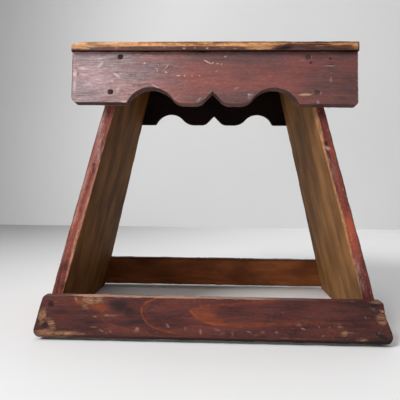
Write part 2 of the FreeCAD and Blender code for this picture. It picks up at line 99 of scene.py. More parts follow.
def finished_piece(name, board, material, slot, *nodes):
    """Turn a board into a piece of the stool that stands for its CAD nodes."""
    mesh = bpy.data.meshes.new(name)
    board.to_mesh(mesh)
    board.free()
    mesh.shade_smooth()
    mesh.materials.append(material)
    piece = bpy.data.objects.new(name, mesh)
    bpy.context.scene.collection.objects.link(piece)
    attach(piece, "root")
    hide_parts(*nodes)
    return piece


def linear(code):
    """An sRGB hex colour as linear red, green, blue and alpha."""
    shares = [int(code[i:i + 2], 16) / 255 for i in (1, 3, 5)]
    return [s / 12.92 if s <= 0.04045 else ((s + 0.055) / 1.055) ** 2.4 for s in shares] + [1.0]


def add(tree, kind, inputs=None, **settings):
    """Add a shader node; each input is given a value or the socket that feeds it."""
    made = tree.nodes.new(f"ShaderNode{kind}")
    for word, setting in settings.items():
        setattr(made, word, setting)
    for socket, given in (inputs or {}).items():
        if isinstance(given, bpy.types.NodeSocket):
            tree.links.new(given, made.inputs[socket])
        else:
            made.inputs[socket].default_value = given
    return made


def points_of(piece):
    """A piece's points in millimetres, the directions it faces there and how far they lie from an arris."""
    count = len(piece.data.vertices)
    places, facing, away = np.empty(count * 3), np.empty(count * 3), np.empty(count)
    piece.data.vertices.foreach_get("co", places)
    piece.data.vertex_normals.foreach_get("vector", facing)
    piece.data.attributes["arris"].data.foreach_get("value", away)
    return places.reshape(-1, 3) / MM, facing.reshape(-1, 3), away


def spots(across, up, marks):
    """How strongly each point lies in marks of (across, up, half length, half height, turn, amount)."""
    total = np.zeros(len(across))
    for x, z, length, height, turn, amount in marks:
        c, s = math.cos(math.radians(turn)), math.sin(math.radians(turn))
        dx, dz = across - x, up - z
        away = ((dx * c + dz * s) / length) ** 2 + ((dz * c - dx * s) / height) ** 2
        total = np.maximum(total, np.exp(-0.6 * away) * amount)
    return total


def lay(piece, layer, *amounts):
    """Store four amounts on each point of a piece, for its material to read."""
    count = len(piece.data.vertices)
    channels = np.stack([np.broadcast_to(amount, count) for amount in amounts], 1)
    stored = piece.data.attributes.new(layer, "FLOAT_COLOR", "POINT")
    stored.data.foreach_set("color", channels.astype(np.float32).ravel())


def aged_timber(name, look):
    """Softwood with growth rings about a pith line, partly under an old coat of paint that wear has broken.

    The attribute "finish" holds how bare, grimy, filmed over and coated each point is; on the rails the grime
    also stands for painted shade. The attribute "tone" holds its share of fiery wood, its share of chips and
    its painted light and shade.
    """
    material = bpy.data.materials.new(name)
    material.use_nodes = True
    tree = material.node_tree
    shader = tree.nodes["Principled BSDF"]
    place = add(tree, "TexCoord").outputs["Object"]
    # Millimetres, with X along the grain and the pith on the X axis.
    grain = add(tree, "Mapping", {
        "Vector": place, "Location": look["pith"], "Rotation": look["turn"], "Scale": (1000, 1000, 1000),
    }).outputs[0]
    # The rings wander over about 170 mm along the grain and 40 mm across it, as a grown trunk does.
    slow = add(tree, "VectorMath", {0: grain, 1: (0.006, 0.025, 0.025)}, operation="MULTIPLY")
    wander = add(tree, "TexNoise", {"Vector": slow.outputs[0], "Scale": 1.0, "Detail": 2.0})
    sway = look["sway"]
    drift = add(tree, "VectorMath", {
        0: wander.outputs["Color"], 1: (0, sway, sway), 2: (0, -sway / 2, -sway / 2),
    }, operation="MULTIPLY_ADD")
    fibres = add(tree, "VectorMath", {0: grain, 1: drift.outputs[0]}, operation="ADD").outputs[0]

    # Late wood: it darkens slowly through each year and ends sharply.
    across = add(tree, "VectorMath", {0: fibres, 1: (0, 1, 1)}, operation="MULTIPLY")
    radius = add(tree, "VectorMath", {0: across.outputs[0]}, operation="LENGTH").outputs["Value"]
    years = add(tree, "Math", {0: radius, 1: 1 / look["ring"]}, operation="MULTIPLY").outputs[0]
    year = add(tree, "Math", {0: years}, operation="FRACT").outputs[0]
    rise = add(tree, "MapRange", {0: year, 1: 0.3, 2: 0.85}, interpolation_type="SMOOTHSTEP")
    fall = add(tree, "MapRange", {0: year, 1: 0.85, 2: 1.0}, interpolation_type="SMOOTHSTEP")
    late = add(tree, "Math", {0: rise.outputs[0], 1: fall.outputs[0]}, operation="SUBTRACT").outputs[0]

    # Cycles to a millimetre along and across the grain: fibres 1.4 mm wide, streaks 8 mm, ragged paint
    # 2.5 mm, clouds 33 mm and specks 1.8 mm. All are a little coarser than real ones, so that they show.
    noises = {}
    for word, cycles, detail, roughness in (
        ("fine", (0.03, 0.70, 0.70), 5.0, 0.7),
        ("broad", (0.007, 0.13, 0.13), 5.0, 0.65),
        ("ragged", (0.12, 0.40, 0.40), 5.0, 0.75),
        ("cloud", (0.014, 0.03, 0.03), 3.0, 0.5),
        ("speck", (0.22, 0.55, 0.55), 5.0, 0.7),
    ):
        spread = add(tree, "VectorMath", {0: fibres, 1: cycles}, operation="MULTIPLY")
        noises[word] = add(tree, "TexNoise", {
            "Vector": spread.outputs[0], "Scale": 1.0, "Detail": detail, "Roughness": roughness,
        }).outputs[0]
    # Fibres broken up by the pores, which is what catches the eye close by.
    fibre = add(tree, "Mix", {0: 0.4, 2: noises["fine"], 3: noises["speck"]}).outputs[0]

    def toned(colours, share, strength):
        """Two hex colours mixed along a share, then lightened and darkened by the fibres."""
        light, dark = (linear(code) for code in colours)
        blend = add(tree, "Mix", {0: share, 6: light, 7: dark}, data_type="RGBA")
        value = add(tree, "MapRange", {0: fibre, 1: 0.3, 2: 0.7, 3: 1 - strength, 4: 1 + strength})
        return add(tree, "HueSaturation", {"Color": blend.outputs[2], "Value": value.outputs[0]}).outputs[0]

    def broken(amount, low, high, raggedness):
        """A mask with ragged edges from a smooth amount."""
        uneven = add(tree, "Math", {0: noises["ragged"], 1: raggedness, 2: -raggedness / 2},
                     operation="MULTIPLY_ADD").outputs[0]
        total = add(tree, "Math", {0: amount, 1: uneven}, operation="ADD").outputs[0]
        return add(tree, "MapRange", {0: total, 1: low, 2: high},
                   interpolation_type="SMOOTHSTEP").outputs[0]

    # Old paint crazes into small scales, about 7 mm long and 2.6 mm wide, but only in places.
    scales = add(tree, "VectorMath", {
        0: noises["ragged"], 1: (2.5, 2.5, 2.5), 2: fibres,
    }, operation="MULTIPLY_ADD")
    scales = add(tree, "VectorMath", {0: scales.outputs[0], 1: (0.15, 0.38, 0.38)}, operation="MULTIPLY")
    crazing = add(tree, "TexVoronoi", {"Vector": scales.outputs[0], "Scale": 1.0},
                  feature="DISTANCE_TO_EDGE").outputs["Distance"]
    cracks = add(tree, "MapRange", {0: crazing, 1: 0.0, 2: 0.09, 3: 1.0, 4: 0.0}).outputs[0]
    places = add(tree, "MapRange", {0: noises["cloud"], 1: 0.40, 2: 0.60}).outputs[0]
    cracks = add(tree, "Math", {0: cracks, 1: places}, operation="MULTIPLY").outputs[0]

    # What wear and dirt have done, with ragged borders.
    finish = add(tree, "Attribute", attribute_name="finish")
    laid = add(tree, "SeparateColor", {0: finish.outputs["Color"]}).outputs
    tone = add(tree, "Attribute", attribute_name="tone")
    toning = add(tree, "SeparateColor", {0: tone.outputs["Color"]}).outputs
    coat = broken(finish.outputs["Alpha"], 0.4, 0.6, 0.3)
    worn = broken(laid[0], 0.40, 0.60, 1.3)
    grime = broken(laid[1], 0.15, 0.95, 0.7)
    film = broken(laid[2], 0.0, 0.9, 0.7)
    raised = add(tree, "MapRange", {0: fibre, 1: 0.30, 2: 0.60}).outputs[0]
    film = add(tree, "Math", {0: film, 1: raised}, operation="MULTIPLY").outputs[0]
    fiery = broken(toning[0], 0.1, 1.2, 0.7)
    chipping = add(tree, "Math", {0: toning[1], 1: 0.35, 2: noises["speck"]},
                   operation="MULTIPLY_ADD").outputs[0]
    chips = add(tree, "MapRange", {0: chipping, 1: 0.70, 2: 0.76},
                interpolation_type="SMOOTHSTEP").outputs[0]
    bared = add(tree, "Math", {0: worn, 1: chips}, operation="MAXIMUM").outputs[0]

    # The bare wood, the paint over it and the wood rubbed bare again.
    broad = add(tree, "MapRange", {0: noises["broad"], 1: 0.35, 2: 0.65}).outputs[0]
    cloud = add(tree, "MapRange", {0: noises["cloud"], 1: 0.35, 2: 0.65}).outputs[0]
    mottle = add(tree, "Math", {0: broad, 1: cloud}, operation="ADD").outputs[0]
    late_share = add(tree, "MapRange", {0: late, 4: look["late"]}).outputs[0]
    aged = add(tree, "Math", {0: late_share, 1: cloud}, operation="MAXIMUM").outputs[0]
    stained = add(tree, "MapRange", {0: mottle, 1: 0.2, 2: 1.6, 4: look["stain_share"]}).outputs[0]
    faded = add(tree, "MapRange", {0: mottle, 1: 0.5, 2: 1.6}).outputs[0]
    dirty = add(tree, "MapRange", {0: noises["ragged"], 1: 0.38, 2: 0.66, 4: look["dirt"]})
    grin = add(tree, "MapRange", {0: late, 4: look["grin"]}).outputs[0]
    crazed = add(tree, "MapRange", {0: cracks, 4: look["craze"]}).outputs[0]
    dark = linear(look["grime"])
    natural = add(tree, "Mix", {
        0: stained, 6: toned(look["natural"], aged, 0.22), 7: linear(look["stain"]),
    }, data_type="RGBA").outputs[2]
    rubbed = add(tree, "Mix", {
        0: dirty.outputs[0], 6: toned(look["rubbed"], late_share, 0.42), 7: dark,
    }, data_type="RGBA").outputs[2]
    paint = toned(look["paint"], faded, look["streak"])
    for share, over in (
        (grin, linear(look["under"])), (fiery, toned(look["fire"], late_share, 0.2)),
        (crazed, dark), (bared, rubbed),
    ):
        paint = add(tree, "Mix", {0: share, 6: paint, 7: over}, data_type="RGBA").outputs[2]
    colour = natural
    for share, over in ((coat, paint), (film, linear(look["film"])), (grime, dark)):
        colour = add(tree, "Mix", {0: share, 6: colour, 7: over}, data_type="RGBA").outputs[2]
    # The tone's shade is painted light and shade, scaling the colour.
    colour = add(tree, "HueSaturation", {"Color": colour, "Value": toning[2]}).outputs[0]
    tree.links.new(colour, shader.inputs["Base Color"])

    # Bare wood is dull and the paint has some gloss left. Rings, bare places and cracks show in the relief.
    sheen = add(tree, "MapRange", {0: coat, 3: 0.7, 4: look["gloss"]}).outputs[0]
    rough = add(tree, "Mix", {0: bared, 2: sheen, 3: 0.7}).outputs[0]
    tree.links.new(rough, shader.inputs["Roughness"])
    shader.inputs["Specular IOR Level"].default_value = look["specular"]
    height = add(tree, "Math", {0: late, 1: 0.3, 2: noises["fine"]}, operation="MULTIPLY_ADD").outputs[0]
    cracked = add(tree, "Math", {0: cracks, 1: coat}, operation="MULTIPLY").outputs[0]
    for sunk, amount in ((bared, -0.5), (cracked, -0.3)):
        height = add(tree, "Math", {0: sunk, 1: amount, 2: height}, operation="MULTIPLY_ADD").outputs[0]
    bump = add(tree, "Bump", {"Height": height, "Strength": 0.5, "Distance": look["relief"] * MM})
    tree.links.new(bump.outputs[0], shader.inputs["Normal"])
    return material


def leg_place(high, hand):
    """Where a share of the leg's thickness, depth and height lies, leaning and splayed."""
    def place(u, v, w):
        z = w * high.z
        reach = high.y - math.tan(LEAN) * z
        outer = FOOT_REACH * MM - math.tan(SPLAY) * z
        inset = (1 - u if hand > 0 else u) * LEG_ACROSS * MM
        return Vector((hand * (outer - inset), (2 * v - 1) * reach, z))
    return place


# Widths of the rubbed strip on the front and rear edges, from the inner arris, by height, in millimetres.
leg_wear = {
    "left": ((0, 57, 80, 106, 130, 150, 180, 215, 250, 290, 352), (1, 2, 3.5, 5, 5.5, 4.5, 4, 3, 1.5, 1, 1)),
    "right": (
        (0, 60, 100, 130, 150, 170, 200, 235, 255, 290, 352),
        (1, 1.5, 2.5, 3, 4.5, 3.5, 3, 4, 5, 6, 4),
    ),
}
# Planed pine, left bare within and thinly brushed with oxblood paint outside: to the eye a quiet browned
# wood beside a dull, flaking red with pale rubbed strips.
leg_looks = {
    "left": {
        "pith": (0, 40, 150), "turn": (0, math.radians(75.6), 0), "sway": 30, "ring": 8.0, "late": 0.10,
        "natural": ("#825527", "#623c18"), "stain": "#402610", "rubbed": ("#c48670", "#8c5340"),
        "paint": ("#8f4b43", "#5e302d"), "streak": 0.42, "under": "#a86655", "flaking": 0.44,
    },
    "right": {
        "pith": (0, -30, -170), "turn": (0, math.radians(104.4), 0), "sway": 34, "ring": 9.0, "late": 0.09,
        "natural": ("#aa794a", "#875c36"), "stain": "#644a2e", "rubbed": ("#c58e66", "#8e5c3c"),
        "paint": ("#824640", "#4f2828"), "streak": 0.5, "under": "#8f4b3f", "flaking": 0.38,
    },
}
both_legs = {
    "stain_share": 0.42, "grin": 0.45, "fire": ("#b1563f", "#8e3d2e"), "film": "#d3aaa0", "grime": "#2a1613",
    "gloss": 0.5, "relief": 0.8, "specular": 0.06, "dirt": 0.6, "craze": 0.55,
}
# Marks on the front edges: place across the edge, 0 inside to 1 outside, height, and the rest as in spots.
leg_marks = {
    "left": {
        "film": [
            (0.9, 262, 0.25, 18, 0, 0.6), (0.55, 240, 0.2, 20, 0, 0.55), (0.85, 190, 0.2, 25, 0, 0.5),
            (0.3, 222, 0.15, 10, 0, 0.6), (0.8, 150, 0.15, 16, 0, 0.45), (0.9, 100, 0.1, 14, 0, 0.4),
        ],
        "grime": [
            (0.5, 212.6, 0.14, 1.8, 0, 0.8), (0.1, 224, 0.12, 5, 0, 0.7), (0.35, 205, 0.1, 6, 0, 0.6),
            (0.55, 86, 0.5, 9, 0, 0.6), (0.2, 62, 0.4, 6, 0, 0.6), (0.2, 240, 0.08, 4, 0, 0.6),
        ],
        "fire": [
            (0.5, 140, 0.35, 16, 0, 0.5), (0.45, 110, 0.3, 12, 0, 0.5), (0.5, 175, 0.3, 10, 0, 0.4),
        ],
    },
    "right": {
        "film": [
            (0.4, 235, 0.14, 1.8, 0, 1.0), (0.4, 208, 0.2, 14, 0, 0.3), (0.3, 90, 0.2, 10, 0, 0.35),
            (0.25, 70, 0.2, 8, 0, 0.4),
        ],
        "grime": [
            (0.35, 241, 0.22, 2.2, 0, 0.7), (0.85, 280, 0.3, 12, 0, 0.5), (0.6, 200, 0.3, 18, 0, 0.3),
            (0.4, 66, 0.4, 12, 0, 0.45), (0.75, 95, 0.2, 10, 0, 0.4),
        ],
        "fire": [
            (0.5, 138, 0.5, 16, 0, 0.95), (0.45, 118, 0.35, 12, 0, 0.7), (0.8, 232, 0.2, 10, 0, 0.6),
            (0.5, 165, 0.3, 12, 0, 0.5),
        ],
    },
}
# Knots on the inner faces, by depth and height.
leg_knots = {
    "left": [
        (-31.4, 174.2, 2.4, 4.5, 0, 0.5), (-6.1, 155.4, 3.0, 5.0, 0, 0.55), (40, 250, 3, 6, 0, 0.4),
    ],
    "right": [
        (20, 120, 3, 5, 0, 0.45), (-60, 190, 2, 6, 0, 0.35), (-20, 262, 3, 7, 0, 0.4),
    ],
}
for side, hand in (("left", -1), ("right", 1)):
    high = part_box(f"{side}_leg_board")[1]
    board = sawn_board((8, 112, 170), leg_place(high, hand))
    wear_arrises(board, rounding=0.9 * MM, reach=5 * MM, depth=0.9 * MM, seed=hand)
    look = both_legs | leg_looks[side]
    material = aged_timber(f"aged_pine_{side}_leg", look)
    leg = finished_piece(f"{side}_leg", board, material, "leg_wood", f"{side}_leg_board")
    places, facing, away = points_of(leg)
    x, y, z = places.T
    inward = -hand * facing[:, 0]
    coat = np.where(inward > 0.6, 0.0, 1.0)
    edge = np.abs(facing[:, 1]) > 0.5
    front = edge & (y < 0)
    # 0 at the inner arris of the edge, 1 at the outer.
    share = (np.abs(x) - (FOOT_REACH - np.tan(SPLAY) * z - LEG_ACROSS)) / LEG_ACROSS
    # The rubbed strip fades over 5 mm, and the other painted arrises are rubbed 1.6 mm wide.
    strip = np.interp(z, *leg_wear[side])
    flaking = look["flaking"]
    bare = np.clip(flaking + (strip - share * LEG_ACROSS) / 5, flaking - 0.1, 0.9) * edge
    bare = np.maximum(bare, 0.42 * np.clip(1 - away / 1.6, 0, 1) * (coat > 0.5))
    # Dirt has gathered in the marks, round the knots and along the outer arris.
    marks = leg_marks[side]
    knots = spots(y, z, leg_knots[side]) * (coat < 0.5)
    grime = np.maximum(spots(share, z, marks["grime"]) * front, knots)
    grime = np.maximum(grime, 0.62 * np.clip((share - 0.78) / 0.2, 0, 1) * edge)
    lay(leg, "finish", bare, grime, spots(share, z, marks["film"]) * front, coat)
    lay(leg, "tone", spots(share, z, marks["fire"]) * front, 0.3 * edge, 1.0, 0)

# ---------------------------------------------------------------- aprons
# Softwood boards nailed across the legs under the seat, their lower edges sawn in arches, lobes and a cusp.
# The faces wear an old oxblood paint, dulled and scuffed, with a pale bloom at the front one's left end that
# is partly a painted sheen; painted light lies at that end and painted shade toward the right. The sawn edges
# are bare wood gone dark, with painted light and shade on them, and the rear apron's inner face is painted
# nearly black as shade.
SCALLOPS = {
    "front": {"shift": 1.0, "spacing": 151.0, "radius": 32.5, "rise": 19.7, "lobe": 19.5},
    "rear": {"shift": 0.0, "spacing": 147.0, "radius": 28.0, "rise": 17.8, "lobe": 24.7},
}
CUSP_RISE, CUSP_WIDTH, CUSP_ROUND = 15.0, 42.4, 15.0
APRON_WIDTH, APRON_THICKNESS, APRON_HALF = 66.0, 14.5, 175.0
# How far out the aprons' outer faces would reach at the floor, and the rounding of their lower corners.
APRON_FOOT = 131.5
LEFT_CORNER, RIGHT_CORNER = 6.0, 2.5
# The mark of the punch round each sunken nail head.
PUNCH_RADIUS, PUNCH_DEPTH = 4.6 * MM, 0.8 * MM
# How far below the outermost point, and how far apart, the points of one nail head can lie.
HEAD_DEPTH, HEAD_REACH = 0.2 * MM, 12 * MM


def scallop_height(x, half, cut):
    """Height of the apron's sawn edge above its lowest line, at a distance from the middle, in mm."""
    a = abs(x + cut["shift"])
    arch_x, arch_z = cut["spacing"] / 2, cut["rise"] - cut["radius"]
    lobe = cut["lobe"]
    reach = math.sqrt((cut["radius"] + lobe) ** 2 - (lobe - arch_z) ** 2)
    shoulder = arch_x - reach
    meet = arch_x - reach * cut["radius"] / (cut["radius"] + lobe)
    foot = arch_x + math.sqrt(cut["radius"] ** 2 - arch_z ** 2)
    half_notch = CUSP_WIDTH / 2
    if a < half_notch - CUSP_ROUND * math.sin(math.radians(45)):
        height = CUSP_RISE - a
    elif a < half_notch:
        height = CUSP_ROUND - math.sqrt(CUSP_ROUND ** 2 - (half_notch - a) ** 2)
    elif a < shoulder:
        height = 0.0
    elif a < meet:
        height = lobe - math.sqrt(lobe ** 2 - (a - shoulder) ** 2)
    elif a < foot:
        height = arch_z + math.sqrt(cut["radius"] ** 2 - (a - arch_x) ** 2)
    else:
        height = 0.0
    corner = LEFT_CORNER if x < 0 else RIGHT_CORNER
    past = corner - (half - abs(x))
    if past > 0:
        height = corner - math.sqrt(max(corner ** 2 - past ** 2, 0))
    return height


# The front apron was sawn a little wider at its right end than at its left: places, and what is lost there.
CROOKED = (-175, -120, -60, 60, 110, 175), (1.2, 0.9, 0, 0, -0.6, -0.9)


def apron_place(box, side, cut):
    """Where a share of an apron's length, thickness and width lies, in the leaning plane of the legs."""
    low, high = box
    half = high.x / MM
    top = high.z
    back = -high.y if side < 0 else low.y

    def place(u, v, w):
        x = (2 * u - 1) * half
        floor = scallop_height(x, half, cut) + (np.interp(x, *CROOKED) if side < 0 else 0)
        up = (floor + w * (APRON_WIDTH - floor) - APRON_WIDTH) * MM
        out = (1 - v if side < 0 else v) * APRON_THICKNESS * MM
        y = back - math.sin(LEAN) * up + math.cos(LEAN) * out
        z = top + math.cos(LEAN) * up + math.sin(LEAN) * out
        return Vector((x * MM, side * y, min(z, top)))
    return place


def nail_heads(node, outward):
    """The middles of the nail heads of a CAD node whose nails are all driven the same way."""
    points = [Vector(p.co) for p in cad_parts[node].data.vertices]
    top = max(p.dot(outward) for p in points)
    heads = []
    for point in (p for p in points if p.dot(outward) > top - HEAD_DEPTH):
        near = [head for head in heads if (head[0] - point).length < HEAD_REACH]
        if near:
            near[0].append(point)
        else:
            heads.append([point])
    return [sum(head, Vector()) / len(head) for head in heads]


def press_in(board, heads):
    """Press the surface in around each nail head, as the punch leaves it."""
    for point in board.verts:
        for head in heads:
            away = (point.co - head).length / PUNCH_RADIUS
            if away < 1:
                point.co -= point.normal * PUNCH_DEPTH * min(1, 2.2 * (1 - away)) * (1 - 0.2 * away)


# Marks on the front face, as in spots: bare scratches, pale film, grime and the small nail holes.
apron_marks = {
    "bare": [
        (111.2, 298.9, 7.5, 1.3, 0, 1.0), (-57.2, 333.5, 2.7, 0.9, 50, 0.9),
        (-58.3, 326.2, 1.0, 1.6, 80, 0.9), (-85.1, 337.9, 1.2, 1.2, 0, 0.9),
        (-109.4, 289.6, 6.2, 1.4, 3, 1.0), (-6.8, 338.8, 5.7, 0.8, -27, 0.85),
        (-42.8, 322.1, 2.4, 0.9, 0, 0.85), (-35.4, 322.1, 1.0, 1.3, 0, 0.9),
        (-26.2, 322.2, 1.0, 1.1, 0, 0.8), (-17.0, 322.2, 1.1, 1.1, 0, 0.8), (-9.1, 322.4, 1.0, 0.8, 0, 0.7),
        (-69.4, 329.1, 0.9, 3.7, 10, 0.65), (-67.7, 335.3, 0.8, 2.7, 10, 0.6),
        (-0.7, 338.3, 1.6, 1.0, 0, 0.75), (4.9, 337.1, 1.3, 0.8, 0, 0.75), (9.8, 336.3, 1.5, 0.8, 0, 0.75),
        (13.9, 345.5, 2.2, 1.0, 20, 0.7), (3.1, 327.6, 3.2, 0.8, 10, 0.6),
        (-141.0, 334.7, 4.4, 1.0, 55, 0.5), (43.1, 298.9, 1.2, 1.4, 0, 0.7),
        (-118.8, 305, 1.6, 3.6, 0, 0.55),
    ],
    "film": [
        (-161.5, 331.6, 6.8, 1.5, 0, 0.95), (-140.6, 343.8, 7.4, 1.6, 0, 0.7),
        (-139.8, 335.4, 6.8, 1.7, 55, 0.95), (-141.5, 329.1, 6.2, 1.5, 0, 0.7),
        (-171.3, 324.1, 2.5, 6.2, 0, 0.85), (-160.0, 322.8, 7.4, 2.0, 0, 0.7),
        (-171.5, 309.0, 2.2, 8.6, 0, 0.85), (-154.7, 311.6, 7.4, 3.7, 15, 0.6),
        (-135.0, 320.3, 9.9, 3.7, 10, 0.6), (-120.8, 323.7, 7.6, 1.1, -33, 0.95),
        (-124.9, 315.3, 3.7, 3.7, 0, 0.6), (-117.2, 304.1, 2.7, 6.2, 0, 0.6),
        (-112.9, 334.1, 12.3, 4.9, 0, 0.35), (-139.4, 297.9, 24.6, 3.7, 0, 0.55),
        (-150.4, 336.6, 12, 9.9, 0, 0.5), (-146.2, 319.1, 17.2, 8.6, 0, 0.55),
        (-71.5, 309.2, 5.2, 1.0, -25, 0.7), (126.8, 289.3, 1.4, 2.0, 0, 0.6),
        (142.4, 317.3, 1.0, 2.5, 0, 0.5), (28.9, 306.9, 3.0, 1.2, 20, 0.4),
        (44.8, 297.1, 1.6, 3.7, -45, 0.35), (-17.2, 292.6, 3.7, 1.2, 45, 0.4),
        (-156.7, 295.3, 12.3, 2.5, 0, 0.5), (-167.0, 346.7, 6.2, 1.5, 10, 0.4),
        (-102.5, 311.6, 9.9, 4.9, 0, 0.35), (108.8, 341.5, 4.9, 1.4, 0, 0.25),
        (141.3, 334.2, 5.2, 0.6, 0, 0.6), (117.0, 344.6, 2.4, 2.2, 0, 0.35),
        (129.2, 300.2, 2.0, 1.8, 0, 0.3),
    ],
    "grime": [
        (-112.5, 343.8, 3.0, 1.2, 0, 0.6), (-167.6, 324.6, 2.6, 0.9, 55, 0.8),
        (-150.0, 301.3, 4.2, 1.5, 0, 0.5), (-152, 299, 18, 6, 0, 0.46), (-122, 343, 14, 4, 0, 0.4),
        (-128, 295, 14, 5, 0, 0.4), (-162, 345, 10, 4, 0, 0.36), (-95, 336, 24, 5, 0, 0.3),
        (118.2, 338.0, 1.4, 1.2, 0, 1.2), (141.7, 343.2, 1.5, 1.2, 20, 1.1),
        (141.3, 335.9, 5.2, 0.9, 0, 0.75), (141.3, 332.3, 4.4, 0.9, -4, 0.6),
        (40.4, 321.7, 1.0, 14.8, 0, 0.35), (73.7, 334.1, 1.0, 14.8, 0, 0.3),
        (70.1, 341.5, 1.2, 7.4, 0, 0.35), (-58.0, 340.0, 1.0, 8.0, 0, 0.25),
        (-33.0, 318.0, 7.0, 1.2, 0, 0.4),
    ],
}
# Pine under a thick old oxblood oil paint: to the eye a dull purplish red, streaked along the grain and
# finely crazed, with tan wood in the scratches.
apron_look = {
    "pith": (0, 140, -330), "turn": (0, 0, math.radians(1.5)), "sway": 16, "ring": 4.5, "late": 0.6,
    "natural": ("#58382c", "#3c241d"), "stain": "#2a1813", "stain_share": 0.5,
    "rubbed": ("#d3a78c", "#b0836b"), "paint": ("#8c514b", "#664a4a"), "streak": 0.36, "under": "#8c564d",
    "grin": 0.3, "fire": ("#94483a", "#7c3a30"), "film": "#d0c3c6", "grime": "#35201f",
    "gloss": 0.42, "relief": 0.5, "dirt": 0.25, "craze": 0.3,
}
for side_name, side, cells, specular in (("front", -1, (350, 6, 66), 0.3), ("rear", 1, (220, 6, 40), 0.05)):
    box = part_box(f"{side_name}_apron")
    board = sawn_board(cells, apron_place(box, side, SCALLOPS[side_name]))
    wear_arrises(board, rounding=0.8 * MM, reach=3.5 * MM, depth=0.7 * MM, seed=3 + side)
    heads = nail_heads(f"{side_name}_apron_nails", Vector((0, side * math.cos(LEAN), math.sin(LEAN))))
    press_in(board, heads)
    material = aged_timber(f"oxblood_paint_{side_name}_apron", apron_look | {"specular": specular})
    apron = finished_piece(
        f"{side_name}_scalloped_apron", board, material, "painted_wood", f"{side_name}_apron",
    )
    places, facing, away = points_of(apron)
    x, y, z = places.T
    outer = side * facing[:, 1] > 0.5
    coat = np.where(facing[:, 2] < -0.35, 0.0, 1.0)
    # Arrises are rubbed 1.8 mm wide and the ends 3 to 4 mm; the very ends and the nails are grimy.
    near = np.clip(1 - away / 1.8, 0, 1)
    ends = np.clip(1 - (APRON_HALF - np.abs(x)) / np.where(x < 0, 3.0, 4.0), 0, 1)
    bare = np.where(outer, np.maximum(0.42 * near, 0.62 * ends), 0.3 * near)
    stains = [(head.x / MM, head.z / MM, 3.6, 3.0, 0, 0.75 if head.x < 0 else 0.4) for head in heads]
    grime = spots(x, z, stains) * outer
    grime = np.maximum(grime, 0.7 * np.clip((np.abs(x) - APRON_HALF + 1.4) / 1.2, 0, 1))
    film = np.zeros(len(x))
    # Painted shade on the rear apron: its inner face nearly black and its sawn edge dark; its outer face is
    # darkened a little. The front apron's shade is set again below.
    shade = np.where(side * facing[:, 1] < -0.5, 0.05, np.where(coat < 0.5, 0.15, 0.75))
    if side < 0:
        bare = np.maximum(bare, spots(x, z, apron_marks["bare"]) * outer)
        grime = np.maximum(grime, spots(x, z, apron_marks["grime"]) * outer)
        # The pale bloom, partly a painted sheen, thins out from the left end to the middle. Painted light at
        # the left end and painted shade toward the right make the paint darker from left to right.
        bloom_and_sheen = np.interp(x, (-170, -150, -115, -60, -20), (0.4, 0.46, 0.38, 0.2, 0.05))
        film = np.maximum(bloom_and_sheen, spots(x, z, apron_marks["film"])) * outer
        shade = np.interp(x, (-175, -90, 0, 80, 145, 175), (1.12, 1.1, 1.04, 0.86, 0.72, 0.68))
        # Painted shade on the sawn edge, darker the deeper it lies, with a painted highlight at its front
        # arris and painted light on the two lobes, which face the floor.
        depth = APRON_FOOT - np.tan(LEAN) * z - np.abs(y)
        lobes = (np.abs(x) < 62) & (z < 292)
        sawn = np.interp(depth, (0, 3, 14), (1.1, 0.8, 0.5)) * np.where(lobes, 2.4, 1.0)
        shade = np.where(coat < 0.5, sawn, shade)
    lay(apron, "finish", bare, grime, film, coat)
    lay(apron, "tone", 0, 0.1 * outer, shade, 0)

# ---------------------------------------------------------------- floor rails
# Low boards nailed across the feet, front and rear, a little clear of the floor. The outer faces were painted
# and have rubbed through to flame-shaped grain, bare at the left end; the inner faces are natural wood.
RAIL_THICKNESS = 12.0
RAIL_ACROSS = RAIL_THICKNESS / math.cos(LEAN)
RAIL_FOOT_ROUND, RAIL_TOP_ROUND = 8.0, 4.0
# Heights up the front rail's splintered right end, and how much of its length is lost there.
SPLINTER = (15, 23, 33, 43, 49), (0, 1.6, 2.2, 1.4, 0.6)


def rail_half(z, width, widest):
    """Half the rail's length at a height: the ends slant with the legs and are rounded, more so below."""
    slope, rise, run = math.tan(SPLAY), math.sin(SPLAY), math.cos(SPLAY)
    sharp = widest + RAIL_FOOT_ROUND * (1 / run - 1) + slope * RAIL_FOOT_ROUND
    if z < RAIL_FOOT_ROUND * (1 + rise):
        middle = sharp - slope * RAIL_FOOT_ROUND - RAIL_FOOT_ROUND / run
        return middle + math.sqrt(max(RAIL_FOOT_ROUND ** 2 - (z - RAIL_FOOT_ROUND) ** 2, 0))
    if z > width - RAIL_TOP_ROUND * (1 - rise):
        middle = sharp - slope * (width - RAIL_TOP_ROUND) - RAIL_TOP_ROUND / run
        return middle + math.sqrt(max(RAIL_TOP_ROUND ** 2 - (z - width + RAIL_TOP_ROUND) ** 2, 0))
    return sharp - slope * z


def rail_place(box, side):
    """Where a share of a rail's length, thickness and width lies, with closer rows near both long edges."""
    low, high = box
    width = (high.z - low.z) / MM
    back = (-high.y if side < 0 else low.y) / MM

    def place(u, v, w):
        z = width * (w - 0.6 * math.sin(2 * math.pi * w) / (2 * math.pi))
        x = (2 * u - 1) * rail_half(z, width, high.x / MM)
        y = back + math.tan(LEAN) * (width - z) + (1 - v if side < 0 else v) * RAIL_ACROSS
        return Vector((x, side * y, low.z / MM + z)) * MM
    return place


def strokes(across, up, lines):
    """How strongly each point lies in a list of drawn lines: (points, half width, amount)."""
    total = np.zeros(len(across))
    for points, half_width, amount in lines:
        for (x0, z0), (x1, z1) in zip(points, points[1:]):
            run, rise = x1 - x0, z1 - z0
            share = np.clip(((across - x0) * run + (up - z0) * rise) / (run * run + rise * rise), 0, 1)
            away = np.hypot(across - x0 - share * run, up - z0 - share * rise) / half_width
            total = np.maximum(total, np.exp(-0.6 * away ** 2) * amount)
    return total


